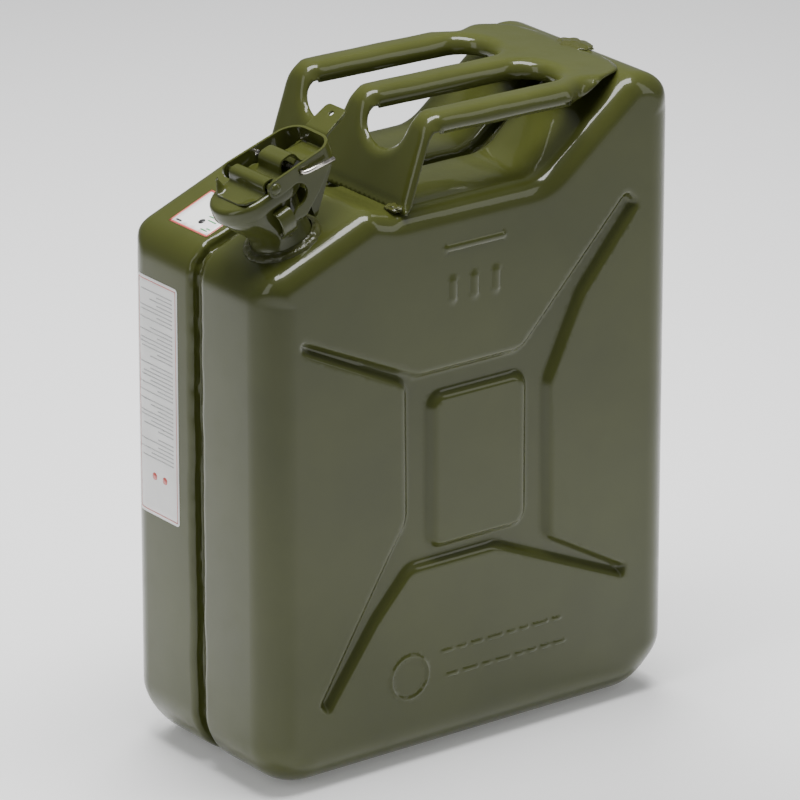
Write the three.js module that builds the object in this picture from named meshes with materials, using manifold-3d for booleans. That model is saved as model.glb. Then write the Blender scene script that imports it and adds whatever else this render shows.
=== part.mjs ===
// A 20-litre pressed-steel jerry can with a three-bar carrying handle and a lever-locked spout.
// Millimetres, +Z up. The origin is the centre of the bounding box at floor level.
// +X runs along the can from the spout end to the rear, and Y across it, so the two pressed
// half-shells meet on the plane y = 0 and the broad faces look along -Y and +Y.
import * as THREE from "three";
import { mergeVertices } from "three/addons/utils/BufferGeometryUtils.js";
import Module from "manifold-3d";

const wasm = await Module();
wasm.setup();

// ---- Driving dimensions -------------------------------------------------------------------------
const FRONT_X = -166.5; // front wall: the lid's nose reaches 12 mm further
const REAR_X = 178.5;
const HALF_WIDTH = 82.5;
const SHEET = 1; // steel thickness of the shells
const GAP = 0.3; // clearance kept between touching pieces
const DECK_Z = 396; // level deck under the handle
const REAR_Z = 453; // raised rear of the can
const SLOPE = THREE.MathUtils.degToRad(21.5); // spout platform against the horizontal
const BOTTOM_FILLET = 31; // broad face to bottom
const SIDE_FILLET = 24; // broad face to end walls
const TOP_FILLET = 16; // broad face to top surfaces
const GROOVE_DEPTH = 8;
const GROOVE_HALF = 5.5;
const EMBOSS = 4; // depth of the pressed X on the broad faces
const CHANNEL_HALF = 10; // half-width of the pressed band round the middle
const ARM_HALF = 7; // half-width of the pressed arms

const HANDLE_TOP_Z = 457;
const HANDLE_REAR_Z = 455.5;
const HANDLE_HALF = 80; // half-width over the three bars
const BAR_WIDTH = 24;
const BAR_DEPTH = 13;
const HANDLE_SHEET = 1.5;

const SPOUT_X = -125.5; // neck centre where it meets the platform
const SPOUT_Y = -43;
const NECK_R = 21.5;
const NECK_WALL = 1.5;
const MOUTH_R = 20.3;
const MOUTH_W = 43; // height of the pouring mouth above the platform
const LID_R = 22.6;
const LID_NOSE = 16.33; // how far the lid's nose centre lies in front of the neck centre
const LID_TOP = 48.5;
const HINGE_U = 43; // lid hinge pin, behind the neck
const HINGE_W = 42.5;
const AXLE_U = -4.7; // lever pivot on the lid
const AXLE_W = 51.8;
const SAFETY_U = 17.5; // safety pin through the lever and the strap's loop
const SAFETY_W = 51.3;
const ARM_IN = 23.4; // inner face of the lever's arms
const ARM_T = 2;

// ---- Colours ------------------------------------------------------------------------------------
const finish = (color, roughness, metalness) => ({ color, roughness, metalness });
const OLIVE = finish(0x55562f, 0.22, 0.15);
const OLIVE_DARK = finish(0x4a4b2a, 0.3, 0.15);
const BARE_STEEL = finish(0xb9b6ac, 0.25, 1);
const RUBBER = finish(0x1c1c1a, 0.8, 0);
const PAPER = finish(0xe8e6e2, 0.6, 0);

// ---- Solids -------------------------------------------------------------------------------------
function solid(geometry) {
  const bare = geometry.index ? geometry.toNonIndexed() : geometry.clone();
  bare.deleteAttribute("normal");
  bare.deleteAttribute("uv");
  const merged = mergeVertices(bare, 1e-4);
  const made = new wasm.Manifold(
    new wasm.Mesh({
      numProp: 3,
      vertProperties: merged.attributes.position.array,
      triVerts: new Uint32Array(merged.index.array),
    }),
  );
  if (made.volume() < 0) throw new Error("a solid is inside out");
  return made;
}

function geometryOf(made) {
  const mesh = made.getMesh();
  const geometry = new THREE.BufferGeometry();
  geometry.setAttribute("position", new THREE.BufferAttribute(mesh.vertProperties, 3));
  geometry.setIndex(new THREE.BufferAttribute(mesh.triVerts, 1));
  return geometry;
}

const can = new THREE.Group();

function add(group, name, look, shape) {
  const geometry = shape instanceof THREE.BufferGeometry ? shape : geometryOf(shape);
  const mesh = new THREE.Mesh(geometry, new THREE.MeshStandardMaterial(look));
  mesh.name = name;
  group.add(mesh);
  return mesh;
}

// A closed outline of [a, b] points extruded along a third axis from one coordinate to another.
function extrude(points, from, to, holes = []) {
  const shape = new THREE.Shape(points.map(([a, b]) => new THREE.Vector2(a, b)));
  for (const hole of holes) shape.holes.push(new THREE.Path(hole.map(([a, b]) => new THREE.Vector2(a, b))));
  const depth = to - from;
  return new THREE.ExtrudeGeometry(shape, { depth, bevelEnabled: false, steps: 1 }).translate(0, 0, from);
}

// An outline in X and Z, extruded along Y.
function acrossY(points, from, to, holes) {
  return solid(extrude(points, -to, -from, holes).rotateX(Math.PI / 2));
}

// An outline in X and Y, extruded along Z.
function alongZ(points, from, to, holes) {
  return solid(extrude(points, from, to, holes));
}

// A corner list [x, y, radius] turned into a closed outline with round corners.
function rounded(corners, step = 12) {
  const outline = [];
  corners.forEach(([x, y, radius], i) => {
    const here = new THREE.Vector2(x, y);
    const before = corners.at(i - 1);
    const after = corners[(i + 1) % corners.length];
    const back = new THREE.Vector2(before[0], before[1]).sub(here).normalize();
    const on = new THREE.Vector2(after[0], after[1]).sub(here).normalize();
    const half = Math.acos(THREE.MathUtils.clamp(back.dot(on), -1, 1)) / 2;
    if (!radius) {
      outline.push([x, y]);
      return;
    }
    const reach = radius / Math.tan(half);
    const centre = here.clone().add(back.clone().add(on).normalize().multiplyScalar(radius / Math.sin(half)));
    const first = here.clone().addScaledVector(back, reach).sub(centre);
    const turn = Math.PI - 2 * half;
    const side = Math.sign(back.cross(on)) || 1;
    const count = Math.max(2, Math.ceil(THREE.MathUtils.radToDeg(turn) / step));
    for (let k = 0; k <= count; k++) {
      const at = first.clone().rotateAround(new THREE.Vector2(), (-side * turn * k) / count).add(centre);
      outline.push([at.x, at.y]);
    }
  });
  return outline;
}

const box = (x0, x1, y0, y1) => [[x0, y0, 0], [x1, y0, 0], [x1, y1, 0], [x0, y1, 0]];
const roundBox = (x0, x1, y0, y1, r) => rounded(box(x0, x1, y0, y1).map(([x, y]) => [x, y, r]));

// Rings of equally many points, joined into one closed body with flat ends.
function loft(rings) {
  const count = rings[0].length;
  const positions = rings.flat(2);
  const index = [];
  for (let r = 0; r + 1 < rings.length; r++) {
    for (let i = 0; i < count; i++) {
      const a = r * count + i;
      const b = r * count + ((i + 1) % count);
      index.push(a, b, b + count, a, b + count, a + count);
    }
  }
  const flat = (ring, drop) => ring.map((p) => new THREE.Vector2(...p.filter((_, axis) => axis !== drop)));
  const drop = [0, 1, 2].reduce((best, axis) => {
    const spread = (k) => Math.max(...rings[0].map((p) => p[k])) - Math.min(...rings[0].map((p) => p[k]));
    return spread(axis) < spread(best) ? axis : best;
  }, 0);
  const last = (rings.length - 1) * count;
  const start = THREE.ShapeUtils.triangulateShape(flat(rings[0], drop), []);
  const end = THREE.ShapeUtils.triangulateShape(flat(rings.at(-1), drop), []);
  const area = THREE.ShapeUtils.area(flat(rings[0], drop));
  const turned = (area > 0) === (drop !== 1);
  const up = rings.at(-1)[0][drop] > rings[0][0][drop];
  const outward = turned === up;
  for (const [a, b, c] of start) index.push(...(outward ? [a, c, b] : [a, b, c]));
  for (const [a, b, c] of end) index.push(...(outward ? [a, b, c] : [a, c, b]).map((i) => i + last));
  if (!outward) {
    const sides = (rings.length - 1) * count * 6;
    for (let i = 0; i < sides; i += 3) [index[i + 1], index[i + 2]] = [index[i + 2], index[i + 1]];
  }
  const geometry = new THREE.BufferGeometry();
  geometry.setAttribute("position", new THREE.Float32BufferAttribute(positions, 3));
  geometry.setIndex(index);
  return solid(geometry);
}

// ---- Can body -----------------------------------------------------------------------------------
const platformZ = (x) => 381.5 + (x + 130) * Math.tan(SLOPE);
const PLATFORM_END_X = -79;
const PROFILE_CORNERS = [
  [FRONT_X, 0, 42],
  [REAR_X, 0, 42],
  [REAR_X, REAR_Z, 30],
  [140, REAR_Z, 17.5],
  [64, DECK_Z, 26],
  [-58, DECK_Z, 20],
  [PLATFORM_END_X, platformZ(PLATFORM_END_X), 20],
  [FRONT_X, platformZ(FRONT_X), 26],
];

// Side profile of the can with the outward direction and the edge fillet at each of its points.
function profilePoints() {
  const outline = rounded(PROFILE_CORNERS, 11).map(([x, z]) => new THREE.Vector2(x, z));
  return outline.map((here, i) => {
    const before = outline.at(i - 1);
    const after = outline[(i + 1) % outline.length];
    const along = after.clone().sub(before).normalize();
    const out = new THREE.Vector2(along.y, -along.x);
    const edge = out.y < 0 ? BOTTOM_FILLET : TOP_FILLET;
    const share = THREE.MathUtils.smoothstep(Math.abs(out.y), 0.1, 0.8);
    return { here, out, fillet: THREE.MathUtils.lerp(SIDE_FILLET, edge, share) };
  });
}
const PROFILE = profilePoints();

const insetOutline = (inset) => PROFILE.map(({ here, out }) => {
  const at = here.clone().addScaledVector(out, -inset);
  return [at.x, at.y];
});

// One half of the can as a closed body: side is -1 for the -Y half and +1 for the +Y half, and
// shrink moves every surface inwards. A start below zero carries the ring across the seam plane.
function halfBody(side, shrink, start) {
  const ring = (place) => PROFILE.map((point) => {
    const [inset, depth] = place(point);
    const at = point.here.clone().addScaledVector(point.out, -inset);
    return [at.x, side * depth, at.y];
  });
  const lip = [
    [GROOVE_DEPTH, start],
    [GROOVE_DEPTH, GROOVE_HALF - 3],
    [GROOVE_DEPTH - 3.5, GROOVE_HALF - 0.6],
    [1.6, GROOVE_HALF + 1.2],
    [0, GROOVE_HALF + 6],
  ].map(([inset, depth], i) => () => [inset + shrink, depth + (i > 1 ? shrink * 0.6 : 0)]);
  const FILLET_STEPS = 5;
  const fillet = Array.from({ length: FILLET_STEPS + 1 }, (_, k) => ({ fillet: r }) => {
    const angle = (Math.PI / 2) * (k / FILLET_STEPS);
    const radius = r - shrink;
    return [shrink + radius * (1 - Math.cos(angle)), HALF_WIDTH - r + radius * Math.sin(angle)];
  });
  return loft([...lip, ...fillet].map(ring));
}

// The pressed X on a broad face: a band round a raised rectangle, with four arms. grow widens it.
const PANEL = { x0: -29, x1: 47, z0: 155, z1: 260 };
const ARMS = [
  [[-44, 274], [-131, 320]],
  [[58, 268], [136, 364]],
  [[-44, 146], [-73, 125]],
  [[-73, 125], [-116, 64]],
  [[58, 142], [128, 101]],
];
function channels(side, grow) {
  const { x0, x1, z0, z1 } = PANEL;
  const band = 2 * CHANNEL_HALF;
  const outer = roundBox(x0 - band - grow, x1 + band + grow, z0 - band - grow, z1 + band + grow, 14 + grow);
  const inner = roundBox(x0 + grow, x1 - grow, z0 + grow, z1 - grow, 9);
  const floor = HALF_WIDTH - EMBOSS - grow;
  const span = side < 0 ? [-HALF_WIDTH - 5, -floor] : [floor, HALF_WIDTH + 5];
  let cut = acrossY(outer, ...span, [inner]);
  for (const [[ax, az], [bx, bz]] of ARMS) {
    const half = ARM_HALF + grow;
    const along = new THREE.Vector2(bx - ax, bz - az);
    const length = along.length();
    const arm = roundBox(-half, length + half, -half, half, half - 0.01).map(([a, b]) => {
      const at = new THREE.Vector2(a, b).rotateAround(new THREE.Vector2(), along.angle());
      return [ax + at.x, az + at.y];
    });
    cut = cut.add(acrossY(arm, ...span));
  }
  return cut;
}

function shell(side) {
  const outer = halfBody(side, 0, GAP).subtract(channels(side, 0));
  const cavity = halfBody(side, SHEET, -GAP).subtract(channels(side, SHEET));
  return outer.subtract(cavity);
}

// The weld bead that joins the two flanges at the bottom of the groove.
function seamWeld() {
  const floor = GROOVE_DEPTH - GAP;
  return acrossY(insetOutline(floor - 2), -1.6, 1.6, [insetOutline(floor)]);
}

// ---- Handle -------------------------------------------------------------------------------------
const FOOT_X = -54;
const BEND_X = -33;
const HANDLE_END_X = 157;

// The handle's side view: a band that climbs from the deck, runs back over it and lands on the rear.
// An inset outline lies inside the sheet and runs out below it, so that it leaves an open channel.
function handleBand(inset) {
  const lean = (HANDLE_TOP_Z - DECK_Z) / (BEND_X - FOOT_X);
  const open = inset ? 3 : 0;
  const low = BAR_DEPTH + open;
  return rounded([
    [FOOT_X + inset * 1.15, DECK_Z - 8 - open, 0],
    [FOOT_X + low, DECK_Z - 8 - open, 0],
    [BEND_X + low * 0.85, HANDLE_TOP_Z - low, 6],
    [108, HANDLE_REAR_Z - low, 8],
    [126, REAR_Z - 9 - open, 0],
    [HANDLE_END_X - inset, REAR_Z - 9 - open, 0],
    [HANDLE_END_X - inset, REAR_Z + 1.9 - inset, 1.2],
    [134, REAR_Z + 2.4 - inset, 12],
    [112, HANDLE_REAR_Z + 0.4 - inset, 12],
    [BEND_X + 8 / lean + inset * 0.8, HANDLE_TOP_Z + 0.45 - inset, 15 - inset],
  ], 15);
}

// The two hand slots between the bars, cut down through the top and forward through the front.
function slots(grow) {
  const span = (HANDLE_HALF - BAR_WIDTH * 1.5) / 2;
  const half = span + grow;
  const forward = new THREE.Matrix4().makeBasis(
    new THREE.Vector3(0, 1, 0),
    new THREE.Vector3(0, 0, 1),
    new THREE.Vector3(1, 0, 0),
  );
  const pairs = [-1, 1].map((side) => {
    const y = side * (BAR_WIDTH / 2 + span);
    const top = alongZ(roundBox(BEND_X - 1, 90 + grow, y - half, y + half, 13 + grow), DECK_Z + 20, 500);
    const notch = extrude(roundBox(y - half, y + half, DECK_Z + 33 - grow, 520, 14 + grow), -100, -4);
    return top.add(solid(notch.applyMatrix4(forward)));
  });
  return pairs[0].add(pairs[1]);
}

function handleBridge() {
  const t = HANDLE_SHEET;
  const outer = acrossY(handleBand(0), -HANDLE_HALF, HANDLE_HALF);
  const under = acrossY(handleBand(t), -HANDLE_HALF + t, HANDLE_HALF - t);
  const hollow = under.subtract(slots(t));
  const body = acrossY(insetOutline(-GAP), -HALF_WIDTH - 1, HALF_WIDTH + 1);
  return outer.subtract(slots(0)).subtract(hollow).subtract(body);
}

// A weld bead: a capsule lying along Y.
function weldBead(x, y, z, length, radius) {
  return new THREE.CapsuleGeometry(radius, length, 3, 8).translate(x, y, z);
}

// ---- Spout and closure, in the platform's own frame ---------------------------------------------
// u runs rearward along the slope, v is +Y and w stands square to the platform.
const spout = new THREE.Group();
spout.position.set(SPOUT_X, SPOUT_Y, platformZ(SPOUT_X));
spout.rotation.y = -SLOPE;
spout.updateMatrixWorld();

// A stadium outline at height w: two half-circles of radius r about u = -nose and u = rear.
function stadium(r, nose, rear, w, count = 28) {
  return Array.from({ length: count }, (_, k) => {
    const angle = (2 * Math.PI * (k + 0.5)) / count;
    const centre = Math.cos(angle) > 0 ? rear : -nose;
    return [centre + r * Math.cos(angle), r * Math.sin(angle), w];
  });
}
const stack = (rings) => loft(rings.map(([r, nose, rear, w]) => stadium(r, nose, rear, w)));
const disc = (rings) => stack(rings.map(([r, w]) => [r, 0, 0, w]));

// An outline in u and w, extruded along v.
const acrossV = acrossY;

// A round bar along v.
function bar(u, w, r, from, to, sides = 16) {
  return solid(new THREE.CylinderGeometry(r, r, to - from, sides).translate(u, (from + to) / 2, w));
}

function shellWithSpoutHole() {
  const hole = geometryOf(disc([[NECK_R + GAP, -12], [NECK_R + GAP, 8]])).applyMatrix4(spout.matrixWorld);
  return shell(-1).subtract(solid(hole));
}

const MOUTH_NOSE = LID_NOSE - 1;
function fillerNeck() {
  const course = [
    [NECK_R, 0, -7],
    [NECK_R, 0, 4],
    [NECK_R - 2, 2, 13],
    [NECK_R - 1.6, 10, 27],
    [MOUTH_R, MOUTH_NOSE, 36],
    [MOUTH_R, MOUTH_NOSE, MOUTH_W],
  ];
  const bore = course.map(([r, nose, w], i) => {
    const past = i === 0 ? -1 : i === course.length - 1 ? 1 : 0;
    return [r - NECK_WALL, nose, 0, w + past];
  });
  return stack(course.map(([r, nose, w]) => [r, nose, 0, w])).subtract(stack(bore));
}

function neckBaseRing() {
  const ring = disc([[27, GAP], [26.6, 2], [24.5, 3.2]]);
  return ring.subtract(disc([[NECK_R + GAP, -1], [NECK_R + GAP, 5]]));
}

// Air tube inside the neck, which lets the can pour smoothly.
function breatherTube() {
  const section = new THREE.Shape().absarc(0, 0, 4, 0, 2 * Math.PI);
  section.holes.push(new THREE.Path().absarc(0, 0, 3, 0, 2 * Math.PI));
  const extrudePath = new THREE.CatmullRomCurve3([
    new THREE.Vector3(12, 0, 38),
    new THREE.Vector3(12, 0, 12),
    new THREE.Vector3(12, 0, -9),
    new THREE.Vector3(24, 0, -24),
  ]);
  return new THREE.ExtrudeGeometry(section, { extrudePath, steps: 12, curveSegments: 5 });
}

const LID_REAR = 2.6;
function lid() {
  const cap = stack([
    [LID_R, LID_NOSE, LID_REAR, 37.5],
    [LID_R, LID_NOSE, LID_REAR, LID_TOP - 3],
    [LID_R - 1, LID_NOSE, LID_REAR, LID_TOP - 0.9],
    [LID_R - 3, LID_NOSE, LID_REAR, LID_TOP],
  ]);
  return cap.subtract(stack([
    [LID_R - 1.4, LID_NOSE, LID_REAR, 36],
    [LID_R - 1.4, LID_NOSE, LID_REAR, LID_TOP - 1.4],
  ]));
}

function lidGasket() {
  const r = LID_R - 1.7;
  const low = MOUTH_W + GAP;
  const high = LID_TOP - 1.4 - GAP;
  const ring = stack([[r, LID_NOSE, LID_REAR, low], [r, LID_NOSE, LID_REAR, high]]);
  return ring.subtract(stack([[r - 7, LID_NOSE, LID_REAR, low - 1], [r - 7, LID_NOSE, LID_REAR, high + 1]]));
}

// Strap pressed over the lid: it arches over the lever's axle and over the safety pin, and its
// tongue ends in a knuckle on the hinge pin.
const STRAP_HALF = 20;
const TONGUE_HALF = 10.5;
const STRAP_LOW = LID_TOP + GAP;
function lidStrap() {
  const t = 1.5;
  const plate = acrossV([[-26, STRAP_LOW], [27, STRAP_LOW], [27, STRAP_LOW + t], [-26, STRAP_LOW + t]],
    -STRAP_HALF, STRAP_HALF);
  const above = acrossV([[-30, STRAP_LOW], [60, STRAP_LOW], [60, 70], [-30, 70]], -STRAP_HALF, STRAP_HALF);
  const arches = bar(AXLE_U, AXLE_W, 4.2, -STRAP_HALF, STRAP_HALF)
    .add(bar(SAFETY_U, SAFETY_W, 3.2, -STRAP_HALF, STRAP_HALF))
    .intersect(above);
  const tongue = acrossV([
    [25, STRAP_LOW],
    [31, STRAP_LOW],
    [HINGE_U, HINGE_W + 2.6],
    [HINGE_U + 1, HINGE_W + 4.3],
    [32, STRAP_LOW + t],
    [25, STRAP_LOW + t],
  ], -TONGUE_HALF, TONGUE_HALF);
  const knuckle = bar(HINGE_U, HINGE_W, 4.5, -TONGUE_HALF, TONGUE_HALF);
  const bores = bar(AXLE_U, AXLE_W, 2.8, -30, 30)
    .add(bar(SAFETY_U, SAFETY_W, 2, -30, 30))
    .add(bar(HINGE_U, HINGE_W, 2.8, -30, 30));
  return plate.add(arches).add(tongue).add(knuckle).subtract(bores);
}

function leverAxle() {
  const out = ARM_IN + ARM_T + GAP;
  const pin = bar(AXLE_U, AXLE_W, 2.4, -out - 1, out + 1);
  return pin.add(bar(AXLE_U, AXLE_W, 3.6, out, out + 1.8)).add(bar(AXLE_U, AXLE_W, 3.6, -out - 1.8, -out));
}

// Lever: two side arms with claws, joined behind by a wall that carries the thumb tab.
const WALL_U = 48.4;
function lever() {
  const arm = rounded([
    [AXLE_U - 6, AXLE_W + 6, 5.9],
    [WALL_U + 2, 55.5, 0],
    [WALL_U + 2, 42, 0],
    [46, 42, 0],
    [30, 32, 3],
    [13, 20.5, 3],
    [-0.4, 21, 1.5],
    [-0.4, 25.4, 1.5],
    [5.5, 27.5, 2],
    [8, 31, 0],
    [18, 32, 6],
    [19, 44.5, 6],
    [AXLE_U + 6, AXLE_W - 6.2, 0],
    [AXLE_U - 6, AXLE_W - 6, 5.9],
  ]).reverse();
  const ends = ARM_IN + ARM_T;
  const arms = acrossV(arm, -ends, -ARM_IN).add(acrossV(arm, ARM_IN, ends));
  const wall = acrossV([[WALL_U, 41], [WALL_U + 2, 41], [WALL_U + 2, 55.5], [WALL_U, 55.5]], -ends, ends);
  const tab = acrossV([[WALL_U, 51.5], [66, 53], [66, 55], [WALL_U, 53.5]], -9.5, 9.5);
  const tabHole = solid(new THREE.CylinderGeometry(1.8, 1.8, 12, 12).rotateX(Math.PI / 2).translate(60, 0, 53));
  const bores = bar(AXLE_U, AXLE_W, 2.8, -30, 30).add(bar(SAFETY_U, SAFETY_W, 1.9, -30, 30, 12));
  return arms.add(wall).add(tab).subtract(tabHole).subtract(bores);
}

// Bent wire pin through both arms and the strap's loop, with its leg outside the near arm.
function safetyPin() {
  const r = 1.5;
  const leg = -(ARM_IN + ARM_T + 3);
  const extrudePath = new THREE.CurvePath();
  const corner = new THREE.Vector3(SAFETY_U, leg, SAFETY_W);
  const onBar = new THREE.Vector3(SAFETY_U, leg + 2.5, SAFETY_W);
  const onLeg = new THREE.Vector3(SAFETY_U + 2.5, leg, SAFETY_W - 0.4);
  extrudePath.add(new THREE.LineCurve3(new THREE.Vector3(SAFETY_U, 27.4, SAFETY_W), onBar));
  extrudePath.add(new THREE.QuadraticBezierCurve3(onBar, corner, onLeg));
  extrudePath.add(new THREE.LineCurve3(onLeg, new THREE.Vector3(SAFETY_U + 24.8, leg, SAFETY_W - 4.2)));
  const section = new THREE.Shape().absarc(0, 0, r, 0, 2 * Math.PI);
  return new THREE.ExtrudeGeometry(section, { extrudePath, steps: 36, curveSegments: 4 });
}

// Lug on the neck's side: a roof that holds the claw down, and an outer face.
function lug(side) {
  const inner = MOUTH_R + 0.25;
  const outer = ARM_IN + ARM_T + 0.6;
  const angle = [[inner, 31.5], [outer, 31.5], [outer, 18], [outer + 1.6, 18], [outer + 1.6, 33.3], [inner, 33.3]];
  const turn = new THREE.Matrix4().makeBasis(
    new THREE.Vector3(0, side, 0),
    new THREE.Vector3(0, 0, 1),
    new THREE.Vector3(side, 0, 0),
  );
  return extrude(angle, side > 0 ? -12 : -2, side > 0 ? 2 : 12).applyMatrix4(turn);
}

function hingeBracket() {
  const ear = rounded([
    [21.9, 8, 0],
    [24, 8, 0],
    [HINGE_U + 4.8, HINGE_W - 7.5, 4.5],
    [HINGE_U + 4.8, HINGE_W + 5, 4.5],
    [HINGE_U - 5, HINGE_W + 5, 4.5],
    [HINGE_U - 6, HINGE_W - 5.5, 3],
    [24, 31, 0],
    [21.9, 31, 0],
  ]);
  const half = TONGUE_HALF + 0.5;
  const ears = acrossV(ear, half, half + 2).add(acrossV(ear, -half - 2, -half));
  const back = acrossV([[21.9, 8], [24, 8], [24, 31], [21.9, 31]], -half - 2, half + 2);
  return ears.add(back).subtract(bar(HINGE_U, HINGE_W, 2.8, -30, 30));
}

// ---- Labels -------------------------------------------------------------------------------------
const LABEL_T = 0.3;
function frontLabel() {
  return new THREE.BoxGeometry(LABEL_T, 38, 170).translate(FRONT_X - GAP - LABEL_T / 2, 38, 253);
}
function topLabel() {
  return new THREE.BoxGeometry(38, 42, LABEL_T).translate(-6, 33 - SPOUT_Y, GAP + LABEL_T / 2);
}

// ---- Assembly -----------------------------------------------------------------------------------
can.add(spout);
add(can, "shell_right", OLIVE, shellWithSpoutHole());
add(can, "shell_left", OLIVE, shell(1));
add(can, "seam_weld", OLIVE_DARK, seamWeld());
add(can, "handle_bridge", OLIVE, handleBridge());
add(can, "handle_weld_front_right", OLIVE, weldBead(FOOT_X - 3, -58, DECK_Z + 3, 18, 2.4));
add(can, "handle_weld_front_left", OLIVE, weldBead(FOOT_X - 3, 58, DECK_Z + 3, 18, 2.4));
add(can, "handle_weld_rear", OLIVE, weldBead(HANDLE_END_X + 2.8, 0, REAR_Z + 0.9, 12, 2.2));

add(spout, "filler_neck", OLIVE, fillerNeck());
add(spout, "neck_base_ring", OLIVE_DARK, neckBaseRing());
add(spout, "breather_tube", BARE_STEEL, breatherTube());
add(spout, "lug_right", OLIVE, lug(-1));
add(spout, "lug_left", OLIVE, lug(1));
add(spout, "hinge_bracket", OLIVE, hingeBracket());
add(spout, "hinge_pin", BARE_STEEL, bar(HINGE_U, HINGE_W, 2.5, -16, 16));
add(spout, "lid", OLIVE, lid());
add(spout, "lid_gasket", RUBBER, lidGasket());
add(spout, "lid_strap", OLIVE, lidStrap());
add(spout, "lever_axle", OLIVE, leverAxle());
add(spout, "lever", OLIVE, lever());
add(spout, "safety_pin", BARE_STEEL, safetyPin());

add(can, "front_label", PAPER, frontLabel());
add(spout, "top_label", PAPER, topLabel());

export default can;
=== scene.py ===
"""The jerry can's looks: pressed shells, sheet-metal handle, spout closure, welds and labels."""
import math
import random

import bmesh
import bpy
import numpy as np
from mathutils import Matrix, Vector, geometry, noise


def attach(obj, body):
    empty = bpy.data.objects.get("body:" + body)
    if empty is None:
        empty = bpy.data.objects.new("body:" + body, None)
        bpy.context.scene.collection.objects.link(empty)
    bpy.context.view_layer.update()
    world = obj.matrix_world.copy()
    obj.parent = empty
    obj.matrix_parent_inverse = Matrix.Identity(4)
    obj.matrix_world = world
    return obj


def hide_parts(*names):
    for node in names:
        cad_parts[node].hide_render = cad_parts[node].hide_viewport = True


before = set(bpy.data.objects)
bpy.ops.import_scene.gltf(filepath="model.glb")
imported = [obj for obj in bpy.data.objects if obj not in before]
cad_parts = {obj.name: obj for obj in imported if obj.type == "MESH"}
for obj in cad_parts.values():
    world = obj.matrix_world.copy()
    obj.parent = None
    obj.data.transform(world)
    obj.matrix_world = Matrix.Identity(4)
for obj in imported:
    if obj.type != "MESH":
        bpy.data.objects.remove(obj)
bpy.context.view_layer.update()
rng = random.Random(7)
MM = 0.001

# ---- Driving dimensions, millimetres ---------------------------------------------------------------
FRONT_X, REAR_X, HALF_WIDTH = -166.5, 178.5, 82.5
DECK_Z, REAR_Z, SLOPE = 396, 453, math.radians(21.5)
BOTTOM_FILLET, SIDE_FILLET, TOP_FILLET = 31, 24, 15
GROOVE_DEPTH, GROOVE_HALF, LIP = 8, 5, 6
EMBOSS, EMBOSS_BEVEL = 5.2, 6.4
MARK_HEIGHT = 0.95
SPOUT = Vector((-125.5, -43, 0))
NECK_R, MOUTH_R, MOUTH_W = 21.5, 20.3, 43
LID_R, LID_NOSE, LID_REAR, LID_TOP = 22.6, 16.33, 2.6, 48.5
AXLE_U, AXLE_W = -4.7, 51.8
SAFETY_U, SAFETY_W = 17.5, 51.3
HINGE_U, HINGE_W = 43, 42.5
ARM_OUT = 25.4
HANDLE_TOP_Z, HANDLE_HALF, BAR_HALF = 458.3, 80, 12
SHEET = 1.5


def platform_z(x):
    return 381.5 + (x + 130) * math.tan(SLOPE)


SPOUT.z = platform_z(SPOUT.x)
TILT = Matrix.Translation(SPOUT) @ Matrix.Rotation(-SLOPE, 4, "Y")


def smooth(t):
    t = min(max(t, 0.0), 1.0)
    return t * t * (3 - 2 * t)


# ---- Materials -------------------------------------------------------------------------------------
def material(name, color, roughness, metallic=0.0, coat=0.0, coat_roughness=0.05):
    mat = bpy.data.materials.new(name)
    mat.use_nodes = True
    shader = mat.node_tree.nodes["Principled BSDF"]
    shader.inputs["Base Color"].default_value = (*color, 1)
    shader.inputs["Roughness"].default_value = roughness
    shader.inputs["Metallic"].default_value = metallic
    shader.inputs["Coat Weight"].default_value = coat
    shader.inputs["Coat Roughness"].default_value = coat_roughness
    return mat, shader


def texture(mat, scale, detail):
    """Noise in object space, as a socket."""
    nodes, links = mat.node_tree.nodes, mat.node_tree.links
    coords = nodes.new("ShaderNodeTexCoord")
    made = nodes.new("ShaderNodeTexNoise")
    made.inputs["Scale"].default_value = scale
    made.inputs["Detail"].default_value = detail
    links.new(coords.outputs["Object"], made.inputs["Vector"])
    return made.outputs[0]


def ramp(mat, source, low, high, start, end):
    """The source's range from low to high, spread over start to end."""
    made = mat.node_tree.nodes.new("ShaderNodeMapRange")
    for key, value in (("From Min", low), ("From Max", high), ("To Min", start), ("To Max", end)):
        made.inputs[key].default_value = value
    mat.node_tree.links.new(source, made.inputs["Value"])
    return made.outputs["Result"]


def tint(mat, shader, source, first, second):
    """A base colour that the source mixes from two."""
    mix = mat.node_tree.nodes.new("ShaderNodeMix")
    mix.data_type = "RGBA"
    mix.inputs["A"].default_value = (*first, 1)
    mix.inputs["B"].default_value = (*second, 1)
    mat.node_tree.links.new(source, mix.inputs["Factor"])
    mat.node_tree.links.new(mix.outputs["Result"], shader.inputs["Base Color"])


def bump(mat, shader, layers):
    """Bump layers of (height source, strength, distance in metres), each on top of the last."""
    last = None
    for height, strength, distance in layers:
        made = mat.node_tree.nodes.new("ShaderNodeBump")
        made.inputs["Strength"].default_value = strength
        made.inputs["Distance"].default_value = distance
        mat.node_tree.links.new(height, made.inputs["Height"])
        if last:
            mat.node_tree.links.new(last, made.inputs["Normal"])
        last = made.outputs["Normal"]
    mat.node_tree.links.new(last, shader.inputs["Normal"])
    mat.node_tree.links.new(last, shader.inputs["Coat Normal"])


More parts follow.
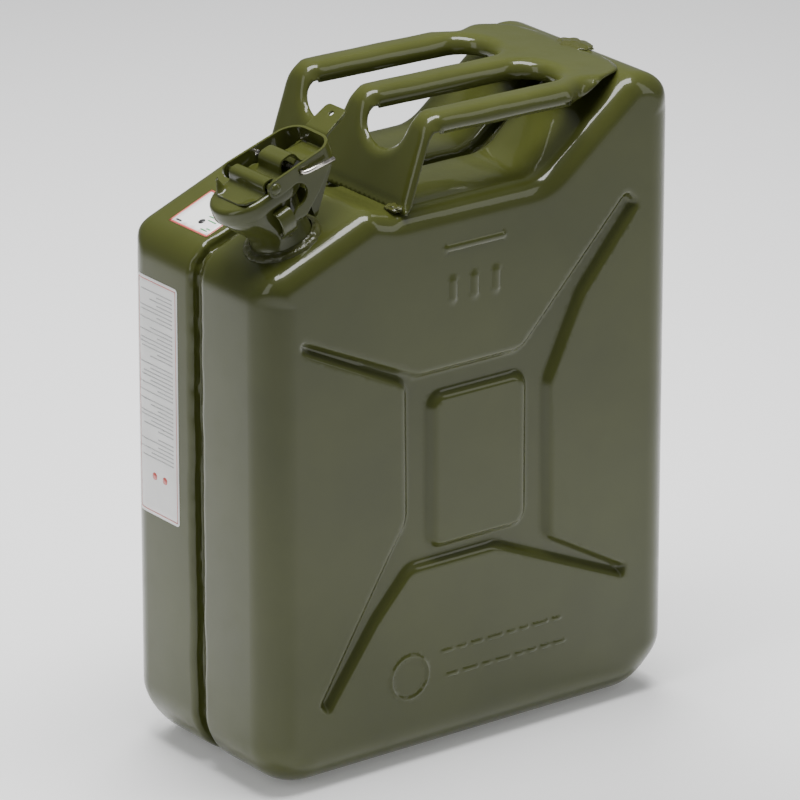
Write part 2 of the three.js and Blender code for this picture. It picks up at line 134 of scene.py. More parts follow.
def paint(name, first, second, rough_bump=0.0):
    """Gloss enamel over sheet steel: a clear coat, slow colour drift, waviness and orange peel."""
    mat, shader = material(name, first, 0.34, coat=0.75, coat_roughness=0.03)
    shader.inputs["Coat IOR"].default_value = 1.45
    shader.inputs["Specular IOR Level"].default_value = 0.1
    tint(mat, shader, ramp(mat, texture(mat, 9, 5), 0.35, 0.7, 0, 1), first, second)
    wear = ramp(mat, texture(mat, 55, 6), 0.4, 0.75, 0.28, 0.46)
    mat.node_tree.links.new(wear, shader.inputs["Roughness"])
    layers = [
        (texture(mat, 16, 1), 0.35, 0.0011),
        (texture(mat, 420, 2), 0.16, 0.00012),
    ]
    if rough_bump:
        layers.append((texture(mat, 240, 4), rough_bump, 0.0012))
    bump(mat, shader, layers)
    return mat


OLIVE = paint("olive_enamel", (0.056, 0.063, 0.014), (0.042, 0.048, 0.01))
OLIVE_WELD = paint("olive_enamel_on_weld", (0.056, 0.06, 0.014), (0.037, 0.041, 0.009), 0.9)


def steel():
    mat, shader = material("bare_steel_wire", (0.72, 0.68, 0.63), 0.16, 1.0)
    streaks = texture(mat, 300, 5)
    patches = ramp(mat, texture(mat, 120, 4), 0.3, 0.7, 0, 1)
    tint(mat, shader, patches, (0.78, 0.74, 0.69), (0.6, 0.55, 0.5))
    mat.node_tree.links.new(ramp(mat, streaks, 0.3, 0.7, 0.12, 0.34), shader.inputs["Roughness"])
    bump(mat, shader, [(streaks, 0.05, 0.00003)])
    return mat


def rubber():
    mat, shader = material("black_rubber", (0.018, 0.018, 0.017), 0.7)
    patches = ramp(mat, texture(mat, 60, 4), 0.3, 0.7, 0, 1)
    tint(mat, shader, patches, (0.02, 0.02, 0.019), (0.035, 0.034, 0.03))
    bump(mat, shader, [(texture(mat, 900, 3), 0.3, 0.0001)])
    return mat


def film(name, first, second):
    mat, shader = material(name, first, 0.3, coat=0.35, coat_roughness=0.15)
    tint(mat, shader, ramp(mat, texture(mat, 30, 5), 0.35, 0.7, 0, 1), first, second)
    bump(mat, shader, [(texture(mat, 25, 2), 0.25, 0.0008), (texture(mat, 1500, 2), 0.1, 0.00003)])
    return mat


STEEL = steel()
RUBBER = rubber()
FILM = film("white_film", (0.82, 0.82, 0.8), (0.74, 0.74, 0.72))
RED_INK = film("red_ink", (0.62, 0.12, 0.1), (0.52, 0.1, 0.09))
GREY_INK = film("grey_ink", (0.38, 0.38, 0.38), (0.46, 0.46, 0.45))
GREEN_INK = film("green_ink", (0.05, 0.34, 0.1), (0.06, 0.28, 0.09))
DARK_INK = film("dark_ink", (0.03, 0.03, 0.03), (0.05, 0.05, 0.05))


# ---- Mesh building ---------------------------------------------------------------------------------
def piece(name, points, faces, mat, place=None, sharp=38, weld=0.0):
    """A smooth-shaded mesh of points in millimetres; edges over the sharp angle stay sharp."""
    data = bpy.data.meshes.new(name)
    points = [place @ Vector(p) for p in points] if place else points
    data.from_pydata([tuple(c * MM for c in p) for p in points], [], faces)
    work = bmesh.new()
    work.from_mesh(data)
    if weld:
        bmesh.ops.remove_doubles(work, verts=work.verts, dist=weld * MM)
    bmesh.ops.recalc_face_normals(work, faces=work.faces)
    work.to_mesh(data)
    work.free()
    data.shade_smooth()
    data.set_sharp_from_angle(angle=math.radians(sharp))
    data.materials.append(mat)
    made = bpy.data.objects.new(name, data)
    bpy.context.collection.objects.link(made)
    return made


def finish_piece(made, body, slot, *nodes):
    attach(made, body)
    if nodes:
        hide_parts(*nodes)


def modify(made, kind, **settings):
    mod = made.modifiers.new(kind.lower(), kind)
    for key, value in settings.items():
        setattr(mod, key, value)


def rounded(corners, step, closed=True):
    """Corners (a, b, radius) turned into an outline with arcs of about step degrees a point."""
    outline = []
    count = len(corners)
    for i, (a, b, radius) in enumerate(corners):
        here = Vector((a, b))
        ends = not closed and i in (0, count - 1)
        if not radius or ends:
            outline.append(here)
            continue
        back = (Vector(corners[i - 1][:2]) - here).normalized()
        on = (Vector(corners[(i + 1) % count][:2]) - here).normalized()
        half = math.acos(max(-1, min(1, back.dot(on)))) / 2
        if abs(half - math.pi / 2) < 1e-3:
            outline.append(here)
            continue
        centre = here + (back + on).normalized() * (radius / math.sin(half))
        first = here + back * (radius / math.tan(half)) - centre
        turn = math.pi - 2 * half
        side = 1 if back.x * on.y - back.y * on.x > 0 else -1
        steps = max(2, math.ceil(math.degrees(turn) / step))
        for k in range(steps + 1):
            angle = -side * turn * k / steps
            outline.append(centre + Matrix.Rotation(angle, 2) @ first)
    return outline


def subdivided(outline, longest, closed=True):
    """The outline with its long edges cut up."""
    cut = []
    last = len(outline) if closed else len(outline) - 1
    for i in range(last):
        a, b = outline[i], outline[(i + 1) % len(outline)]
        parts = max(1, math.ceil((b - a).length / longest))
        cut += [a.lerp(b, k / parts) for k in range(parts)]
    return cut if closed else cut + [outline[-1]]


def inside_distance(points, outline):
    """Distance of each point to a closed outline, positive inside it."""
    if len(points) > 3000:
        parts = [inside_distance(points[i:i + 3000], outline) for i in range(0, len(points), 3000)]
        return np.concatenate(parts)
    p = np.array(points, float)[:, None, :]
    a = np.array([tuple(v) for v in outline])
    b = np.roll(a, -1, axis=0)
    edge = b - a
    along = ((p - a) * edge).sum(-1) / np.maximum((edge**2).sum(-1), 1e-12)
    nearest = a + np.clip(along, 0, 1)[..., None] * edge
    distance = np.sqrt(((p - nearest) ** 2).sum(-1)).min(1)
    above = (a[:, 1] > p[..., 1]) != (b[:, 1] > p[..., 1])
    safe = np.where(edge[:, 1] == 0, 1e-12, edge[:, 1])
    crossing = a[:, 0] + (p[..., 1] - a[:, 1]) * edge[:, 0] / safe
    odd = (above & (p[..., 0] < crossing)).sum(1) % 2 == 1
    return np.where(odd, distance, -distance)


def filled(outline, holes, spacing, extra=()):
    """Triangles that fill an outline round its holes, with extra points and a grid of points inside."""
    loops = [outline, *holes]
    points = [Vector(p) for loop in loops for p in loop]
    edges, start = [], 0
    for loop in loops:
        edges += [(start + i, start + (i + 1) % len(loop)) for i in range(len(loop))]
        start += len(loop)
    low = [min(p[k] for p in outline) for k in (0, 1)]
    high = [max(p[k] for p in outline) for k in (0, 1)]
    grid = [
        (x, y)
        for j, y in enumerate(np.arange(low[1] + spacing / 2, high[1], spacing * 0.87))
        for x in np.arange(low[0] + spacing * (0.25 + 0.5 * (j % 2)), high[0], spacing)
    ]
    keep = inside_distance(grid, outline) > spacing * 0.55 if grid else []
    for hole in holes:
        keep = keep & (inside_distance(grid, hole) < -spacing * 0.55)
    if extra:
        taken = {(round(x / spacing), round(y / spacing)) for x, y in extra}
        keep = keep & np.array([(round(x / spacing), round(y / spacing)) not in taken for x, y in grid])
        points += [Vector(p) for p in extra]
    points += [Vector(p) for p, good in zip(grid, keep) if good]
    made = geometry.delaunay_2d_cdt(points, edges, [], 0, 1e-4)
    centres = [sum((made[0][i] for i in tri), Vector((0, 0))) / len(tri) for tri in made[2]]
    good = inside_distance(centres, outline) > 0
    for hole in holes:
        good &= inside_distance(centres, hole) < 0
    return made[0], [tri for tri, wanted in zip(made[2], good) if wanted]


def rings_faces(count, rings, start=0):
    """Four-sided faces between closed rings of count points each."""
    faces = []
    for r in range(rings - 1):
        for i in range(count):
            a, b = start + r * count + i, start + r * count + (i + 1) % count
            faces.append((a, b, b + count, a + count))
    return faces


def tube(name, path, radius, mat, place, bend=0.0):
    """A round wire along a path of points, with rounded ends."""
    sides = 20
    points = []
    path = [Vector(p) for p in path]
    path = round_path(path, bend) if bend else path
    side = None
    last = len(path) - 1
    for i, here in enumerate(path):
        along = (path[min(i + 1, last)] - path[max(i - 1, 0)]).normalized()
        if side is None:
            side = along.orthogonal().normalized()
        side = (side - along * side.dot(along)).normalized()
        other = along.cross(side)
        rings = [(0, 1)] if 0 < i < last else [(0, 0.05), (0.15, 0.7), (0.5, 1)]
        if i == last:
            rings = [(-d, r) for d, r in reversed(rings)]
        for shift, share in rings:
            for k in range(sides):
                angle = 2 * math.pi * k / sides
                out = side * math.cos(angle) + other * math.sin(angle)
                points.append(here + along * shift * radius * 0.6 + out * radius * share)
    count = len(points) // sides
    faces = rings_faces(sides, count)
    faces += [tuple(range(sides)), tuple(range((count - 1) * sides, count * sides))]
    return piece(name, points, faces, mat, place, 60)


def round_path(path, bend):
    """The path with each corner replaced by a curve that starts a bend length before it."""
    steps = 8
    made = [path[0]]
    for a, b, c in zip(path, path[1:], path[2:]):
        first = b + (a - b).normalized() * bend
        last = b + (c - b).normalized() * bend
        for k in range(steps + 1):
            t = k / steps
            made.append(first.lerp(b, t).lerp(b.lerp(last, t), t))
    return made + [path[-1]]


# ---- Shells ----------------------------------------------------------------------------------------
PLATFORM_END_X = -79
PROFILE_CORNERS = [
    (FRONT_X, 0, 42),
    (REAR_X, 0, 42),
    (REAR_X, REAR_Z, 32),
    (139, REAR_Z, 20),
    (66, DECK_Z, 34),
    (-58, DECK_Z, 26),
    (PLATFORM_END_X, platform_z(PLATFORM_END_X), 20),
    (FRONT_X, platform_z(FRONT_X), 26),
]


def profile():
    """Side outline with the outward direction and the edge fillet at each of its points."""
    outline = subdivided(rounded(PROFILE_CORNERS, 5), 4)
    made = []
    for i, here in enumerate(outline):
        along = (outline[(i + 1) % len(outline)] - outline[i - 1]).normalized()
        out = Vector((along.y, -along.x))
        edge = BOTTOM_FILLET if out.y < 0 else TOP_FILLET
        share = smooth((abs(out.y) - 0.1) / 0.7)
        made.append((here, out, SIDE_FILLET + (edge - SIDE_FILLET) * share))
    return made


PROFILE = profile()

# The four raised fields stand round the pressed X, whose outline runs from arm to arm.
PRESSED_X = rounded(
    [
        (-143, 328, 4), (-42, 281, 14), (44, 281, 16), (134, 375, 6), (145, 364, 6),
        (97, 308, 40), (69, 250, 20), (70, 139, 10), (137, 101, 3), (134, 92.5, 3),
        (24, 141, 20), (-48, 141, 12), (-76, 111, 30), (-117, 54, 3.5), (-125, 61, 3.5),
        (-66, 158, 20), (-53, 178, 16), (-54, 275, 8), (-139, 317, 4),
    ], 12)
FIELD = rounded([(-29, 155, 8), (47, 155, 8), (47, 260, 8), (-29, 260, 8)], 12)


def strokes_of_marks():
    """Plain raised marks: one bar, three short capsules, a ring and two rows of dashes."""
    marks = [((-19, 365), (28, 365), 1.7)]
    marks += [((x, 329), (x, 341), 2.6) for x in (-14, 4, 22)]
    turn = [(-50 + 15.5 * math.cos(t), 64 + 15.5 * math.sin(t)) for t in np.linspace(0, 2 * math.pi, 25)]
    marks += [(a, b, 0.8) for a, b in zip(turn, turn[1:])]
    for row, z in enumerate((76, 58)):
        x = -22.0 + 4 * row
        while x < 76:
            length = rng.choice((5, 8, 11))
            marks.append(((x, z), (x + length, z), 1.1))
            x += length + 6
    return marks


MARKS = strokes_of_marks()


def contour(outline, inset, spacing):
    """Points along an outline moved inwards by inset, without those that cross over."""
    line = subdivided(outline, spacing)
    moved = []
    for i, here in enumerate(line):
        along = (line[(i + 1) % len(line)] - line[i - 1]).normalized()
        moved += [tuple(here + Vector((along.y, -along.x)) * side * inset) for side in (-1, 1)]
    return [p for p, d in zip(moved, inside_distance(moved, outline)) if abs(d - inset) < 0.2]


def pressed_points():
    """Extra points for a broad face, along the bevels of the pressed X and round the raised marks."""
    points = []
    for inset in (-1.5, -0.2, 1.1, 2.4, 3.7, 4.9):
        points += contour(PRESSED_X, inset, 2.2)
        points += contour(FIELD, -inset, 2.2)
    for a, b, radius in MARKS:
        a, b = Vector(a), Vector(b)
        along = (b - a).normalized()
        square = Vector((-along.y, along.x))
        count = max(1, round((b - a).length / 1.4))
        for k in range(-1, count + 2):
            for off in (-radius - 0.9, -radius + 0.3, 0, radius - 0.3, radius + 0.9):
                points.append(tuple(a.lerp(b, k / count) + square * off))
    seen = {}
    for p in points:
        seen.setdefault((round(p[0] / 0.7), round(p[1] / 0.7)), p)
    return list(seen.values())


def face_height(points):
    """How far each point of a broad face stands in, in millimetres."""
    groove = inside_distance(points, PRESSED_X)
    field = -inside_distance(points, FIELD)
    depth = np.clip((np.minimum(groove, field) + 1.5) / EMBOSS_BEVEL, 0, 1)
    height = EMBOSS * depth * depth * (3 - 2 * depth)
    p = np.array(points, float)
    raised = np.zeros(len(p))
    for a, b, radius in MARKS:
        a, b = np.array(a, float), np.array(b, float)
        along = np.clip(((p - a) @ (b - a)) / max((b - a) @ (b - a), 1e-9), 0, 1)
        distance = np.linalg.norm(p - a - along[:, None] * (b - a), axis=1)
        lift = np.clip((radius + 0.9 - distance) / 1.5, 0, 1)
        raised = np.maximum(raised, lift * lift * (3 - 2 * lift))
    return height - MARK_HEIGHT * raised


def shell(side):
    """Half the body: the groove's wall, its rounded lip, the edge fillet and the pressed broad face."""
    lip_wave = [1.2 * noise.noise(Vector((p.x, p.y, 40 * side)) * 0.06) for p, _, _ in PROFILE]
    ragged = [1.1 * noise.noise(Vector((p.x, p.y, 90 * side)) * 0.21) for p, _, _ in PROFILE]
    rings = []
    lip = [
        (GROOVE_DEPTH, 0.2), (GROOVE_DEPTH, GROOVE_HALF - 2.2),
        (GROOVE_DEPTH - 1, GROOVE_HALF - 0.8), (GROOVE_DEPTH - 3.5, GROOVE_HALF - 0.1),
    ]
    for k in range(7):
        angle = math.pi / 2 * k / 6
        lip.append((LIP * 0.55 * (1 - math.sin(angle)), GROOVE_HALF + LIP * (1 - math.cos(angle))))
    for k, (inset, depth) in enumerate(lip):
        ring = []
        for wave, rag in zip(lip_wave, ragged):
            rough_inset = max(rag, 0) if 2 < k < 7 else 0
            rough_depth = (wave if k > 1 else 0) + (rag if 2 < k < 8 else 0)
            ring.append((inset + rough_inset, depth + rough_depth))
        rings.append(ring)
    steps = 12
    for k in range(steps + 1):
        angle = math.pi / 2 * k / steps
        rise, run = math.sin(angle), 1 - math.cos(angle)
        rings.append([(r * run, HALF_WIDTH - r + r * rise) for _, _, r in PROFILE])
    points = []
    for ring in rings:
        for (here, out, _), (inset, depth) in zip(PROFILE, ring):
            at = here - out * inset
            points.append((at.x, side * depth, at.y))
    count = len(PROFILE)
    faces = rings_faces(count, len(rings))
    last = (len(rings) - 1) * count
    edge = [Vector((points[last + i][0], points[last + i][2])) for i in range(count)]
    flat, triangles = filled(edge, [], 2.4, pressed_points())
    coords = [tuple(p) for p in flat]
    heights = face_height(coords)
    ramped = np.clip(inside_distance(coords, edge) / 12, 0, 1)
    start = len(points)
    points += [(p.x, side * (HALF_WIDTH - h * w), p.y) for p, h, w in zip(flat, heights, ramped)]
    faces += [tuple(start + i for i in tri) for tri in triangles]
    faces.append(tuple(range(count)))
    node = "shell_right" if side < 0 else "shell_left"
    made = piece(f"{node}_skin", points, faces, OLIVE, None, 35, 0.02)
    finish_piece(made, "can", "olive_paint", node)


def seam_bead():
    """The uneven weld at the bottom of the groove."""
    points = []
    around = 8
    for here, out, _ in PROFILE:
        wave = noise.noise(Vector((here.x, here.y, 0)) * 0.3)
        radius = 1.9 + 0.5 * wave
        for k in range(around):
            angle = 2 * math.pi * k / around
            at = here - out * (GROOVE_DEPTH - 0.4 - radius * math.sin(angle))
            points.append((at.x, radius * 1.25 * math.cos(angle) + 0.5 * wave, at.y))
    count = len(PROFILE)
    faces = []
    for i in range(count):
        for k in range(around):
            a, b = i * around + k, i * around + (k + 1) % around
            c, d = ((i + 1) % count) * around + (k + 1) % around, ((i + 1) % count) * around + k
            faces.append((a, b, c, d))
    made = piece("seam_bead", points, faces, OLIVE_WELD, None, 60)
    finish_piece(made, "can", "weld_paint", "seam_weld")


shell(-1)
shell(1)
seam_bead()

# ---- Handle ----------------------------------------------------------------------------------------
FOOT_X, BEND_X, TOP_REAR_X, HANDLE_END_X = -53, -31, 112, 155
CURL_R = 8.5
HANDLE_PATH = rounded([
    (FOOT_X, DECK_Z - 1, 0),
    (BEND_X, HANDLE_TOP_Z, 15),
    (TOP_REAR_X, 456, 60),
    (146, REAR_Z + 1.2, 30),
    (HANDLE_END_X, REAR_Z - 1.4, 0),
], 6, False)


def path_frame(path):
    """A function from arc length to (point, direction along, direction out) on an open path."""
    lengths = [0.0]
    for a, b in zip(path, path[1:]):
        lengths.append(lengths[-1] + (b - a).length)

    def at(s):
        s = min(max(s, 0), lengths[-1])
        i = min(max(np.searchsorted(lengths, s) - 1, 0), len(path) - 2)
        share = (s - lengths[i]) / (lengths[i + 1] - lengths[i])
        here = path[i].lerp(path[i + 1], share)
        ahead = path[min(i + 2, len(path) - 1)] - path[i + 1]
        behind = path[i] - path[max(i - 1, 0)] if i else path[1] - path[0]
        on = path[i + 1] - path[i]
        if ahead.length < 1e-9:
            ahead = on
        blend = behind.normalized().lerp(on.normalized(), min(1, share + 0.5))
        blend = blend.lerp(ahead.normalized(), max(0, share - 0.5))
        along = blend.normalized()
        return here, along, Vector((-along.y, along.x))

    return at, lengths[-1]


handle_at, handle_length = path_frame(HANDLE_PATH)


def handle_sheet():
    """One pressed sheet: its edges round the two slots and along the sides curl downwards."""
    bend_s = (Vector((BEND_X, HANDLE_TOP_Z)) - Vector((FOOT_X, DECK_Z - 1))).length
    slot_y = BAR_HALF + (HANDLE_HALF - 3 * BAR_HALF) / 2
    slot_half = (HANDLE_HALF - 3 * BAR_HALF) / 2
    curl = CURL_R * math.radians(118)
    slot_start, slot_end = bend_s - 30, bend_s + TOP_REAR_X - BEND_X - 20
    front_r, rear_r = 17, 10

    def reach_at(s):
        """Width of the curled edge: narrow on the front plate, wide on the bars."""
        return curl * (1 - 0.5 * smooth((bend_s + 4 - s) / 22))

    def spare(s):
        """How much narrower the sheet gets when its edge curls."""
        reach = reach_at(s)
        return reach - CURL_R * math.sin(min(reach / CURL_R, math.pi / 2))

    def slot_width(s):
        front = math.sqrt(max(0, 1 - (1 - min(1, (s - slot_start) / front_r)) ** 2))
        rear = math.sqrt(max(0, 1 - (1 - min(1, (slot_end - s) / rear_r)) ** 2))
        return max(0, slot_half - spare(s)) * front * rear

    steps = np.concatenate([
        slot_start + front_r * (1 - np.cos(np.linspace(0, math.pi / 2, 10))),
        np.linspace(slot_start + front_r + 3, slot_end - rear_r - 3, 50),
        slot_end - rear_r * (1 - np.cos(np.linspace(math.pi / 2, 0, 8))),
    ])
    holes = []
    for side in (-1, 1):
        near = [Vector((s, side * slot_y - slot_width(s))) for s in steps]
        far = [Vector((s, side * slot_y + slot_width(s))) for s in reversed(steps[1:-1])]
        holes.append(near + far)
    side_line = [(s, HANDLE_HALF + spare(s), 0) for s in np.arange(0, slot_end - 4, 4.0)]
    side_line += [(slot_end + 26, 72, 20), (handle_length - 14, 62, 20), (handle_length, 30, 10)]
    outline = rounded(side_line + [(s, -y, r) for s, y, r in reversed(side_line)], 15)
    outline = subdivided(outline, 3)
    flat, triangles = filled(outline, holes, 3)
    coords = [tuple(p) for p in flat]
    loops = [(1, outline), (-1, holes[0]), (-1, holes[1])]
    distance = np.array([inner * inside_distance(coords, loop) for inner, loop in loops])
    nearest = distance.argmin(0)
    eps = 0.05
    shifted = []
    for dx, dy in ((eps, 0), (0, eps)):
        moved = [(s + dx, y + dy) for s, y in coords]
        shifted.append([inner * inside_distance(moved, loop) for inner, loop in loops])
    points = []
    for i, (s, y) in enumerate(coords):
        which = nearest[i]
        d = distance[which][i]
        at_rear = smooth((s - slot_end - 4) / 30) if which == 0 else 0
        reach = reach_at(s) * (1 - at_rear)
        if which == 0 and (s < 4 or s > handle_length - 4):
            reach = 0
        bar_share = smooth((s - bend_s + 12) / 12)
        move = Vector((0, 0))
        drop = 0.0
        if d < reach:
            grad = Vector((shifted[0][which][i] - d, shifted[1][which][i] - d)) / eps
            grad = grad.normalized() if grad.length > 0.2 else Vector((0, 0))
            turn = (reach - d) / CURL_R
            move = -grad * (CURL_R * math.sin(turn) - (reach - d))
            drop = CURL_R * (1 - math.cos(turn))
        crown = 0.8 * bar_share * (1 - smooth((s - slot_end + 10) / 20))
        here, _, out = handle_at(s + move.x)
        wobble = 0.3 * noise.noise(Vector((s * 0.04, y * 0.05, 3)))
        at = here + out * (wobble - drop - crown * (1 - min(1, d / 12)) ** 2)
        points.append((at.x, y + move.y, at.y))
    made = piece("handle_sheet", points, triangles, OLIVE, None, 50)
    modify(made, "SOLIDIFY", thickness=SHEET * MM, offset=-1)
    finish_piece(made, "can", "olive_paint", "handle_bridge")


handle_sheet()


def blob(name, centre, size, seed, *nodes, place=None):
    """A lumpy weld bead."""
    work = bmesh.new()
    bmesh.ops.create_icosphere(work, subdivisions=4, radius=1)
    points = []
    for v in work.verts:
        at = v.co * (1 + 0.35 * noise.noise(v.co * 2.3 + Vector((seed, 0, 0))))
        points.append(tuple(c + at[k] * size[k] for k, c in enumerate(centre)))
    faces = [tuple(v.index for v in f.verts) for f in work.faces]
    work.free()
    made = piece(name, points, faces, OLIVE_WELD, place, 60)
    finish_piece(made, "can", "weld_paint", *nodes)


blob("weld_foot_right", (FOOT_X - 1, -70, DECK_Z + 1.5), (5, 7, 2.6), 1, "handle_weld_front_right")
blob("weld_foot_left", (FOOT_X - 1, 70, DECK_Z + 1.5), (5, 7, 2.6), 2, "handle_weld_front_left")
blob("weld_rear", (HANDLE_END_X - 4, 0, REAR_Z - 0.6), (11, 17, 3), 3, "handle_weld_rear")

# ---- Spout -----------------------------------------------------------------------------------------
AROUND = 96


def stadium(radius, nose, rear):
    """A circle stretched along u: its front half moved out by nose, its rear half by rear."""
    points = []
    for k in range(AROUND):
        angle = 2 * math.pi * (k + 0.5) / AROUND
        centre = rear if math.cos(angle) > 0 else -nose
        points.append((centre + radius * math.cos(angle), radius * math.sin(angle)))
    return points


def stadium_caps(first, last):
    """Two faces that close a stack of stadium rings at its first and its last ring."""
    return [tuple(range(ring * AROUND, (ring + 1) * AROUND)) for ring in (first, last)]


def stadium_rim(last):
    """Faces that join the last stadium ring of a stack to the first."""
    start = last * AROUND
    return [(start + i, start + (i + 1) % AROUND, (i + 1) % AROUND, i) for i in range(AROUND)]


def stadium_ring(name, course, mat, slot, node, sharp=40, bumpy=0.0):
    """Stadium rings of (radius, nose, rear, w) joined up, the last ring to the first."""
    points = []
    for radius, nose, rear, w in course:
        for u, v in stadium(radius, nose, rear):
            lump = bumpy * noise.noise(Vector((u, v, w)) * 0.32) if bumpy else 0
            scale = 1 + lump / max(radius, 1)
            points.append((u * scale, v * scale, w + lump * 0.7))
    faces = rings_faces(AROUND, len(course)) + stadium_rim(len(course) - 1)
    made = piece(name, points, faces, mat, TILT, sharp)
    finish_piece(made, "can", slot, node)


def neck():
    """The flared neck, round at its foot and oval at its mouth."""
    course = []
    for k in range(19):
        w = -6 + (MOUTH_W + 6) * k / 18
        flare = smooth((w - 6) / 30)
        waist = math.sin(math.pi * min(1, max(0, (w - 2) / 34))) * 1.6
        radius = NECK_R + (MOUTH_R - NECK_R) * flare - waist
        course.append((radius, (LID_NOSE - 1) * flare, 0, w))
    inner = [(r - 1.5, nose, rear, w) for r, nose, rear, w in reversed(course)]
    stadium_ring("neck_skin", course + inner, OLIVE, "olive_paint", "filler_neck")


def lid():
    """The oval cap: a rolled skirt, a rounded edge and a nearly flat top, hollow underneath."""
    edge_r, sheet = 3.6, 1.4
    edge = []
    for k in range(7):
        angle = math.pi / 2 * k / 6
        radius = LID_R - edge_r * (1 - math.cos(angle))
        edge.append((radius, LID_NOSE, LID_REAR, LID_TOP - edge_r + edge_r * math.sin(angle)))
    skirt = [
        (LID_R - 1.6, LID_NOSE, LID_REAR, 37.7), (LID_R - 0.3, LID_NOSE, LID_REAR, 37.5),
        (LID_R, LID_NOSE, LID_REAR, 38.2), (LID_R, LID_NOSE, LID_REAR, 41.5),
    ]
    top = [
        (LID_R - 8, LID_NOSE, LID_REAR, LID_TOP + 0.1), (LID_R - 15, LID_NOSE, LID_REAR, LID_TOP + 0.15),
    ]
    outside = skirt + edge + top
    inside = [(radius - sheet, nose, rear, w - sheet) for radius, nose, rear, w in reversed(edge + top)]
    points = []
    for radius, nose, rear, w in outside + inside:
        points += [(u, v, w) for u, v in stadium(radius, nose, rear)]
    outer, rings = len(outside), len(outside) + len(inside)
    faces = rings_faces(AROUND, outer) + rings_faces(AROUND, len(inside), outer * AROUND)
    faces += stadium_caps(outer - 1, outer) + stadium_rim(rings - 1)
    made = piece("lid_skin", points, faces, OLIVE, TILT, 45)
    finish_piece(made, "lid", "olive_paint", "lid")


neck()
lid()
stadium_ring(
    "neck_weld_ring",
    [(NECK_R + 0.2, 0, 0, -1), (27, 0, 0, -1), (27, 0, 0, 0.6), (25.8, 0, 0, 2.2), (24, 0, 0, 3.2),
     (22.6, 0, 0, 3), (NECK_R + 0.2, 0, 0, 4)],
    OLIVE_WELD, "weld_paint", "neck_base_ring", 60, 0.6)


def sheet_piece(name, points, triangles, thickness, offset, bevel, segments):
    """A painted sheet on the spout, given its thickness and finely rounded edges."""
    made = piece(name, points, triangles, OLIVE, TILT, 50)
    modify(made, "SOLIDIFY", thickness=thickness * MM, offset=offset)
    modify(
        made, "BEVEL", width=bevel * MM, segments=segments, limit_method="ANGLE",
        angle_limit=math.radians(50))
    return made


def strap():
    """Strap over the lid: a front flap, an arch over the axle, a higher arch and the hinge tongue."""
    low = LID_TOP + 0.5
    axle_top, arch_top, tongue = AXLE_W + 4.9, SAFETY_W + 7.5, HINGE_W + 4.6
    line = rounded([
        (-27, low + 0.8, 0), (-25, low, 3), (AXLE_U - 6.2, low, 2), (AXLE_U - 4.6, axle_top, 4.4),
        (AXLE_U + 4.6, axle_top, 4.4), (AXLE_U + 6.2, low, 2), (9, low, 3),
        (SAFETY_U - 6.5, arch_top, 6), (SAFETY_U + 6.5, arch_top, 6), (SAFETY_U + 10, low, 3),
        (32, low - 0.3, 6), (HINGE_U - 3.5, tongue, 3), (HINGE_U + 2.4, tongue, 3),
        (HINGE_U + 4.6, HINGE_W, 3), (HINGE_U + 1, HINGE_W - 4.2, 0),
    ], 10, False)
    line = subdivided(line, 1.6, False)
    at, length = path_frame(line)
    outline = rounded([
        (0, -19.2, 2.5), (33, -19.2, 3), (34, -12.5, 3), (length, -10.4, 0.5),
        (length, 10.4, 0.5), (34, 12.5, 3), (33, 19.2, 3), (0, 19.2, 2.5),
    ], 15)
    flat, triangles = filled(subdivided(outline, 1.5), [], 1.5)
    points = []
    for s, v in flat:
        here, _, out = at(s)
        ear = smooth((abs(v) - 10) / 9) * smooth((11 - s) / 8) * (1.5 if v > 0 else 0.3)
        here = here + out * (ear * 6)
        points.append((here.x + ear * 1.5, v * (1 - 0.12 * ear), here.y))
    made = sheet_piece("strap_skin", points, triangles, 1.3, -1, 0.3, 2)
    finish_piece(made, "lid", "olive_paint", "lid_strap")


strap()


def circle(a, b, radius):
    """A hole's outline."""
    turns = np.linspace(0, 2 * math.pi, 20, endpoint=False)
    return [Vector((a + radius * math.cos(t), b + radius * math.sin(t))) for t in turns]


def lever():
    """One bent sheet in plan: near arm, curved corner, rear wall, curved corner, far arm."""
    axle_s, end_r, corner = 7, 5.9, 15
    rear_u = 50.2
    plan = rounded([
        (AXLE_U - axle_s, -ARM_OUT, 0), (rear_u - 1, -ARM_OUT + 2, corner),
        (rear_u, ARM_OUT - 2, corner), (AXLE_U - axle_s, ARM_OUT, 0),
    ], 6, False)
    plan = subdivided(plan, 1.5, False)
    at, length = path_frame(plan)
    middle = length / 2
    near = [
        (axle_s - end_r, AXLE_W + end_r, 5.8), (axle_s - end_r, AXLE_W - end_r, 5.8),
        (14, AXLE_W - 6.2, 4), (25, 46.5, 7), (31.5, 37, 7), (24, 31, 6),
        (17, 30, 3), (12, 26.5, 2), (7, 26, 1.5), (7, 22, 1.5), (22, 21.5, 6), (38, 31, 8),
        (50, 41, 8), (60, 43.5, 6),
    ]
    far = [(length - s, w, radius) for s, w, radius in reversed(near)]
    top = [(length - 50, 56, 8), (middle + 12, 55.5, 2), (middle - 12, 55.5, 2), (50, 56, 8)]
    outline = rounded([*near, *far, *top], 12)
    pin_s = SAFETY_U - AXLE_U + axle_s
    holes = [circle(s, SAFETY_W, 2.0) for s in (pin_s, length - pin_s)]
    flat, triangles = filled(subdivided(outline, 1.3), holes, 1.3)
    points = []
    for s, w in flat:
        here, _, _ = at(s)
        points.append((here.x, here.y, w))
    made = sheet_piece("lever_skin", points, triangles, 2, 0, 0.45, 3)
    finish_piece(made, "lever", "olive_paint", "lever")
    thumb_tab(rear_u)


